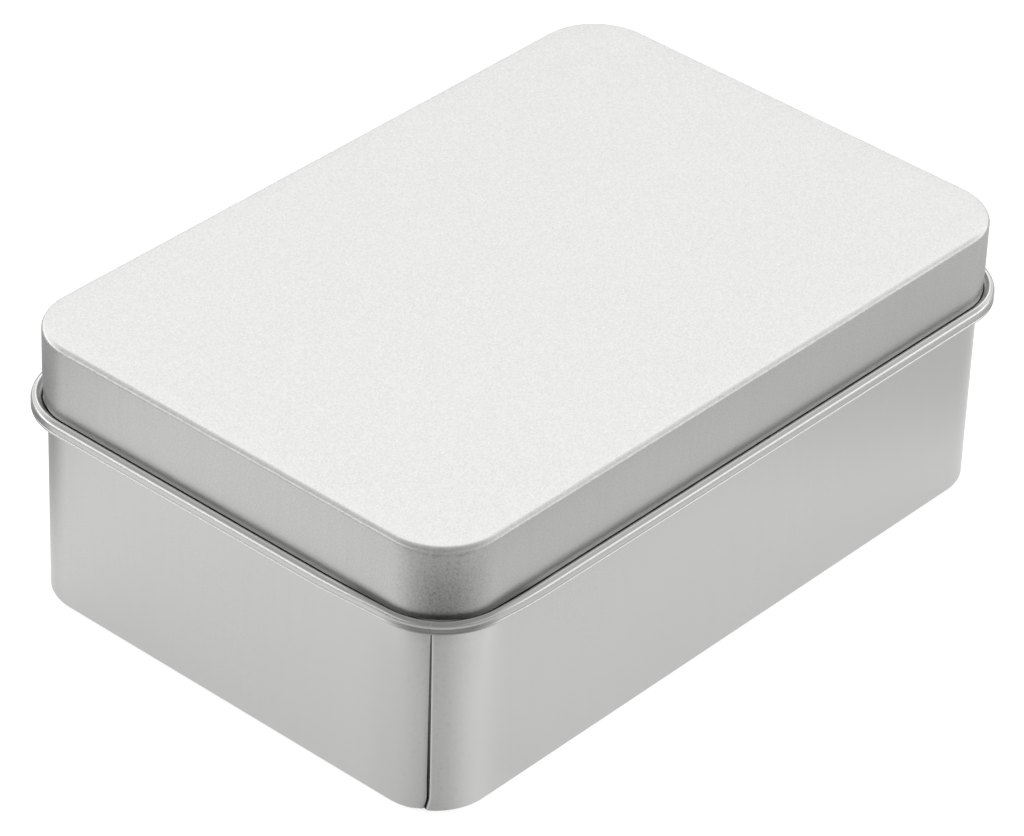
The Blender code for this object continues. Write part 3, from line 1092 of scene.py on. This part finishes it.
@dataclass(frozen=True)
class Lid(TinSheet):
    """The drawn lid: a flat top, a rounded edge, and a skirt whose lower edge is hemmed inward."""

    top_height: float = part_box("lid")[1].z
    edge_height: float = 40.03 * MM
    edge_radius: float = 1.1 * MM
    hem_gap: float = 0.10 * MM
    hem_height: float = 2.0 * MM
    hem_bend_radius: float = 0.16 * MM
    lift: float = 0.40 * MM
    flat_facing: float = math.radians(43.0)
    flat_half_angle: float = math.radians(26.0)
    corner_rise: float = 0.20 * MM
    corner_tuck: float = 0.14 * MM
    corner_rise_depth: float = 5.0 * MM

    PIECE = "lid_sheet"
    NODE = "lid"
    BODY = "lid"
    SLOT = "lid_tinplate"
    SWEEP = LidSweep

    def path(self) -> SheetPath:
        """Runs from the flat top out over the edge, down the skirt and up inside the hem."""
        top = self.top_height - SHEET / 2
        bend = self.edge_radius - SHEET / 2
        skirt = -SHEET / 2
        hem = skirt - SHEET - self.hem_gap
        fold = self.hem_bend_radius - SHEET / 2
        fold_height = self.edge_height + self.hem_bend_radius
        path = SheetPath((-self.plan.corner_radius, top)).run_to((-self.edge_radius, top))
        path.bend((-self.edge_radius, top - bend), bend, 90.0, 0.0)
        path.run_to((skirt, fold_height))
        path.bend((skirt - fold, fold_height), fold, 0.0, -90.0)
        path.bend((hem + fold, fold_height), fold, -90.0, -180.0)
        return path.run_to((hem, self.edge_height + self.hem_height))

    def sizes(self) -> dict[str, object]:
        """Adds the field's two heights."""
        heights = {"Upper Field Height": self.top_height, "Lower Field Height": self.top_height - SHEET}
        return super().sizes() | heights


@dataclass(frozen=True)
class BodyWall(TinSheet):
    """The wall: hooked in below, rolled out to a bead that carries the lid, and curled in on top."""

    bead_reach: float = 2.91 * MM
    bead_foot: float = 38.2 * MM
    bead_root_radius: float = 0.45 * MM
    bead_lip_radius: float = 0.22 * MM
    bead_front_top: float = 39.70 * MM
    bead_bends: tuple[Span, ...] = (
        (0.35 * MM, 12.0),
        (1.60 * MM, 34.0),
        (0.40 * MM, 50.0),
        (2.40 * MM, 64.0),
        (0.25 * MM, 128.0),
    )
    bead_lift: float = 0.45 * MM
    bead_tuck: float = 0.60 * MM
    bead_groove: float = 0.06 * MM
    valley_radius: float = 0.20 * MM
    valley_height: float = 39.9 * MM
    neck_root_radius: float = 0.35 * MM
    rim_height: float = 52.5 * MM
    rim_curl_radius: float = 0.80 * MM
    bottom_edge_radius: float = 0.60 * MM
    hook_bend_radius: float = 0.40 * MM
    hook_height: float = 1.9 * MM
    hook_width: float = 1.86 * MM
    nose_step: float = 0.045 * MM
    dip_top: float = 39.12 * MM
    dip_middle: float = 38.74 * MM
    dip_bottom: float = 38.47 * MM
    dip_depth: float = 0.12 * MM
    seam_window: float = 2.8 * MM
    seam_cuts: int = 11
    seam_lean: float = 0.32 * MM
    seam_depth: float = 0.35 * MM
    gap_at_foot: float = 0.42 * MM
    gap_at_bead: float = 0.10 * MM
    left_lip: float = 1.0 * MM
    right_lip: float = 0.20 * MM
    crease_offset: float = 0.52 * MM
    crease_width: float = 0.07 * MM
    crease_depth: float = 0.035 * MM
    foot_height: float = 3.1 * MM
    foot_shift: float = 0.5 * MM
    foot_lift: float = 0.22 * MM
    fold_width: float = 3.4 * MM
    fold_depth: float = 2 * SHEET
    fold_chamfer: float = 0.40 * MM

    PIECE = "wall_sheet"
    NODE = "body_wall"
    BODY = "case"
    SLOT = "wall_tinplate"
    SWEEP = WallSweep
    IS_CLOSED = True

    def bead_bottom(self) -> float:
        """Returns how high the upright wall ends."""
        return self.bead_foot - self.bead_root_radius

    def path(self) -> SheetPath:
        """Runs from the hook's free edge down and out, up the wall, round the bead and up to the curl."""
        face = -SHEET / 2
        floor = SHEET / 2
        hook = self.hook_bend_radius - SHEET / 2
        hook_face = SHEET / 2 - self.hook_width
        edge = self.bottom_edge_radius - SHEET / 2
        path = SheetPath((hook_face, self.hook_height))
        path.bend((hook_face + hook, floor + hook), hook, 180.0, 270.0, HIDDEN_BEND_STEP)
        path.bend((face - edge, floor + edge), edge, -90.0, 0.0)
        path.run_to((face, self.bead_bottom()))
        self.add_bead(path, face)
        curl = self.rim_curl_radius - SHEET / 2
        curl_height = self.rim_height - self.rim_curl_radius
        path.run_to((face, curl_height))
        return path.bend((face - curl, curl_height), curl, 0.0, 270.0, HIDDEN_BEND_STEP)

    def add_bead(self, path: SheetPath, face: float) -> None:
        """Carries the path out round the bead, over its crest and in to the neck.

        Args:
            path: The wall's path, which ends below the bead.
            face: How far outward the upright wall's middle is.
        """
        root = self.bead_root_radius + SHEET / 2
        neck = self.neck_root_radius + SHEET / 2
        dip = self.valley_radius + SHEET / 2
        valley = self.valley_height - SHEET / 2
        path.roll(-root, 180.0, 270.0, HIDDEN_BEND_STEP)
        lip = self.bead_lip_radius - SHEET / 2
        path.run_to((self.bead_reach - self.bead_lip_radius, self.bead_foot + SHEET / 2))
        path.roll(lip, -90.0, 0.0, HIDDEN_BEND_STEP)
        path.run_to((self.bead_reach - SHEET / 2, self.bead_front_top), self.nose_step)
        facing = 0.0
        for radius, turned in self.bead_bends:
            path.roll(radius - SHEET / 2, facing, turned)
            facing = turned
        drop = path.places[-1][1] - valley - dip * (1 - math.sin(math.radians(facing)))
        path.slant(drop / -math.cos(math.radians(facing)), facing)
        path.roll(-dip, facing, 90.0)
        path.run_to((face + neck, valley))
        path.bend((face + neck, valley + neck), neck, -90.0, -180.0, HIDDEN_BEND_STEP)

    def sizes(self) -> dict[str, object]:
        """Adds how high the upright wall ends."""
        return super().sizes() | {"Bead Bottom": self.bead_bottom()}


@dataclass(frozen=True)
class BottomPanel(TinSheet):
    """The stamped floor: a raised field, a border, and a rim that turns down into the wall's hook."""

    hook_height: float = 1.9 * MM
    rim_fold_gap: float = 0.34 * MM
    bend_radius: float = 0.30 * MM
    border: float = 5.0 * MM
    rise: float = 0.45 * MM
    slope: float = 1.2 * MM

    PIECE = "bottom_sheet"
    NODE = "bottom_panel"
    BODY = "case"
    SLOT = "panel_tinplate"
    SWEEP = FieldSweep

    def path(self) -> SheetPath:
        """Runs from the raised field out to the hook, down into it and up again."""
        inner_leg = -(SHEET + FIT_GAP + SHEET + self.rim_fold_gap + SHEET / 2)
        fold = (SHEET + self.rim_fold_gap) / 2
        fold_height = SHEET + FIT_GAP + SHEET / 2 + fold
        floor = self.hook_height + FIT_GAP + SHEET / 2
        raised = floor + self.rise
        field = inner_leg - self.bend_radius - self.border
        run, drop = self.slope, self.rise
        radius = (run**2 + drop**2) / (4 * drop)
        turn = 2 * math.degrees(math.atan2(drop, run))
        path = SheetPath((-self.plan.corner_radius, raised)).run_to((field - run, raised))
        path.bend((field - run, raised - radius), radius, 90.0, 90.0 - turn, BEND_STEP / 2)
        path.bend((field, floor + radius), radius, -90.0 - turn, -90.0, BEND_STEP / 2)
        path.run_to((inner_leg - self.bend_radius, floor))
        path.bend((inner_leg - self.bend_radius, floor - self.bend_radius), self.bend_radius, 90.0, 0.0)
        path.bend((inner_leg + fold, fold_height), fold, 180.0, 360.0)
        return path.run_to((inner_leg + 2 * fold, self.hook_height))

    def sizes(self) -> dict[str, object]:
        """Adds the field's two heights."""
        raised = self.hook_height + FIT_GAP + self.rise
        return super().sizes() | {"Upper Field Height": raised + SHEET, "Lower Field Height": raised}


@dataclass(frozen=True)
class Studio:
    """A white table under a soft sky, which is bright behind the tin and dim on the side of the lens."""

    floor_reach: float = 3.0
    floor_colour: Colour = (0.40, 0.40, 0.40)
    floor_lift: float = 0.78
    lens_way: Triple = (-0.6235, -0.5370, 0.5682)
    front_way: Triple = (-0.834, -0.552, 0.0)
    right_way: Triple = (0.652, -0.758, 0.0)
    side_way: Triple = (0.0, -1.0, 0.0)
    back_way: Triple = (0.42, 0.908, 0.0)
    front_dusk: Triple = (105.0 * MM, 170.0 * MM, 0.44)
    right_dusk: Triple = (75.0 * MM, 125.0 * MM, 0.28)
    side_dusk: Triple = (82.0 * MM, 100.0 * MM, 0.26)
    back_dusk: Triple = (10.0 * MM, 60.0 * MM, 0.50)
    sky_gain: float = 2.1
    sky_stops: tuple[Span, ...] = (
        *((0.0, 0.50), (0.22, 0.60), (0.33, 0.92), (0.42, 1.0), (0.55, 0.66)),
        *((0.71, 0.42), (0.80, 0.38), (0.92, 0.30), (1.0, 0.28)),
    )
    horizon_glow: float = 1.3
    horizon_width: float = 0.15
    horizon_end: Span = (0.5, 0.85)
    left_share: float = 0.35

    def build(self) -> None:
        """Makes the floor and the sky."""
        self.make_floor()
        self.make_sky()
        LOG.info("studio: floor and sky")

    def make_floor(self) -> None:
        """Lays the floor, which is lifted to white where it is seen, but keeps the tin's shadow."""
        reach = self.floor_reach
        corners = [(-reach, -reach, 0.0), (reach, -reach, 0.0), (reach, reach, 0.0), (-reach, reach, 0.0)]
        mesh = bpy.data.meshes.new("floor")
        mesh.from_pydata(corners, [], [(0, 1, 2, 3)])
        material = bpy.data.materials.new("floor_white")
        material.use_nodes = True
        material.node_tree.nodes.clear()
        graph = Graph(material.node_tree)
        lit = 1.0 - self.dusk(graph)
        colour = graph.mix(MixKind.COLOUR, lit, BLACK, (*self.floor_colour, 1.0))
        diffuse = graph.add("ShaderNodeBsdfDiffuse", inputs={"Color": colour})["BSDF"]
        strength = self.seen_or_mirrored(graph) * lit * self.floor_lift
        lift = graph.add("ShaderNodeEmission", inputs={"Color": WHITE, "Strength": strength})[0]
        both = graph.add("ShaderNodeAddShader", inputs={0: diffuse, 1: lift})[0]
        graph.add("ShaderNodeOutputMaterial", inputs={"Surface": both})
        mesh.materials.append(material)
        floor = bpy.data.objects.new("floor", mesh)
        bpy.context.scene.collection.objects.link(floor)

    def dusk(self, graph: Graph) -> Value:
        """Finds how far the table's unlit ends darken what the tin mirrors of it.

        Args:
            graph: The floor's graph.

        Returns:
            0 where the table is lit or seen, and up to 1.
        """
        place = graph.add("ShaderNodeNewGeometry")["Position"]
        share = 0.0
        ends = (
            (self.front_way, self.front_dusk),
            (self.right_way, self.right_dusk),
            (self.side_way, self.side_dusk),
            (self.back_way, self.back_dusk),
        )
        for way, (start, end, depth) in ends:
            share = graph.maths("MAXIMUM", share, graph.dot(place, way).between(start, end) * depth)
        return share * graph.add("ShaderNodeLightPath")["Is Glossy Ray"]

    @staticmethod
    def seen_or_mirrored(graph: Graph) -> Value:
        """Returns 1 for a ray from the lens, off a mirror or through glass, and 0 for one off a matt face."""
        rays = graph.add("ShaderNodeLightPath")
        seen = graph.maths("MAXIMUM", rays["Is Camera Ray"], rays["Is Glossy Ray"])
        return graph.maths("MAXIMUM", seen, rays["Is Transmission Ray"])

    def make_sky(self) -> None:
        """Makes the sky: white where the lens sees it, and otherwise as even as a light tent."""
        world = bpy.data.worlds.new("studio_sky")
        bpy.context.scene.world = world
        world.use_nodes = True
        world.node_tree.nodes.clear()
        graph = Graph(world.node_tree)
        way = graph.vector("NORMALIZE", graph.add("ShaderNodeTexCoord")["Generated"])
        facing, to_right = graph.dot(way, self.lens_way), graph.dot(way, self.right_way)
        share = (facing + 1.0) * HALF
        ramp = graph.add("ShaderNodeValToRGB", {"stops": self.sky_stops}, {"Fac": share})["Color"]
        glow = graph.parts(way)[2].bell(0.0, self.horizon_width) * self.horizon_glow
        glow = glow * (1.0 - facing.between(*self.horizon_end)) * (1.0 - to_right * self.left_share)
        strength = graph.add("ShaderNodeRGBToBW", inputs={"Color": ramp})[0] * self.sky_gain + glow
        camera = graph.add("ShaderNodeLightPath")["Is Camera Ray"]
        strength = graph.mix(MixKind.NUMBER, camera, strength, 1.0)
        sky = graph.add("ShaderNodeBackground", inputs={"Color": WHITE, "Strength": strength})[0]
        graph.add("ShaderNodeOutputWorld", inputs={"Surface": sky})


@dataclass(frozen=True)
class Lens:
    """The camera: where it looks, from which way and how far, and its tilt to the side."""

    target: Triple = (0.06 * MM, 1.64 * MM, 22.0 * MM)
    azimuth: float = -49.26
    elevation: float = 34.63
    roll: float = 2.32
    distance: float = 971.4 * MM
    focal_pixels: float = 5468.0
    sensor_width: float = 36.0

    def build(self) -> None:
        """Makes the camera and gives it to the scene."""
        azimuth, elevation = math.radians(self.azimuth), math.radians(self.elevation)
        flat = math.cos(elevation)
        back = Vector((math.sin(azimuth) * flat, -math.cos(azimuth) * flat, math.sin(elevation)))
        level = Vector((math.cos(azimuth), math.sin(azimuth), 0.0))
        upright = back.cross(level)
        roll = math.radians(self.roll)
        right = level * math.cos(roll) + upright * math.sin(roll)
        above = upright * math.cos(roll) - level * math.sin(roll)
        data = bpy.data.cameras.new("camera")
        data.sensor_width = self.sensor_width
        data.lens = self.focal_pixels * self.sensor_width / PHOTO_WIDTH
        camera = bpy.data.objects.new("camera", data)
        bpy.context.scene.collection.objects.link(camera)
        turned = Matrix((right, above, back)).transposed().to_4x4()
        camera.matrix_world = Matrix.Translation(Vector(self.target) + back * self.distance) @ turned
        bpy.context.scene.camera = camera
        LOG.info("camera: %.1f mm lens", data.lens)


LID_PLAN = Plan(150.0 * MM, 100.9 * MM, 12.2 * MM)
WALL_PLAN = LID_PLAN.inset(0.86 * MM)

LID_FINISH = ScuffedTinplate(
    plan=LID_PLAN,
    colour=(0.487, 0.487, 0.482),
    roughness=0.34,
    skirt=(40.2 * MM, 53.6 * MM),
    # The corners' painted shade, deeper low on the skirt.
    low_corner_dulling=0.60,
    high_corner_dulling=0.14,
    grain_tone=0.50,
    grain_height=0.004 * MM,
    cloud_size=22.0 * MM,
    cloud_tone=0.06,
    streak_tone=0.06,
    fleck_dulling=0.12,
)
WALL_FINISH = SeamedTinplate(
    plan=WALL_PLAN,
    colour=(0.505, 0.505, 0.50),
    roughness=0.25,
    skirt=(0.0, 38.0 * MM),
    # The corners' painted shade, a little deeper low on the wall.
    low_corner_dulling=0.32,
    high_corner_dulling=0.24,
)
PANEL_FINISH = Tinplate(
    plan=WALL_PLAN,
    colour=(0.58, 0.58, 0.575),
    roughness=0.32,
    skirt=(0.0, 3.0 * MM),
    # The corners' painted shade, the same at every height.
    low_corner_dulling=0.10,
    high_corner_dulling=0.10,
    streak_tone=0.0,
)


def main() -> None:
    """Builds the tin's sheets, then the studio and the camera."""
    logging.basicConfig(level=logging.INFO, format="%(name)s: %(message)s")
    scene = bpy.context.scene
    scene.view_settings.view_transform = "Standard"
    Lens().build()
    Studio().build()
    BottomPanel(WALL_PLAN, PANEL_FINISH).build()
    BodyWall(WALL_PLAN, WALL_FINISH).build()
    Lid(LID_PLAN, LID_FINISH).build()


if __name__ == "__main__":
    main()
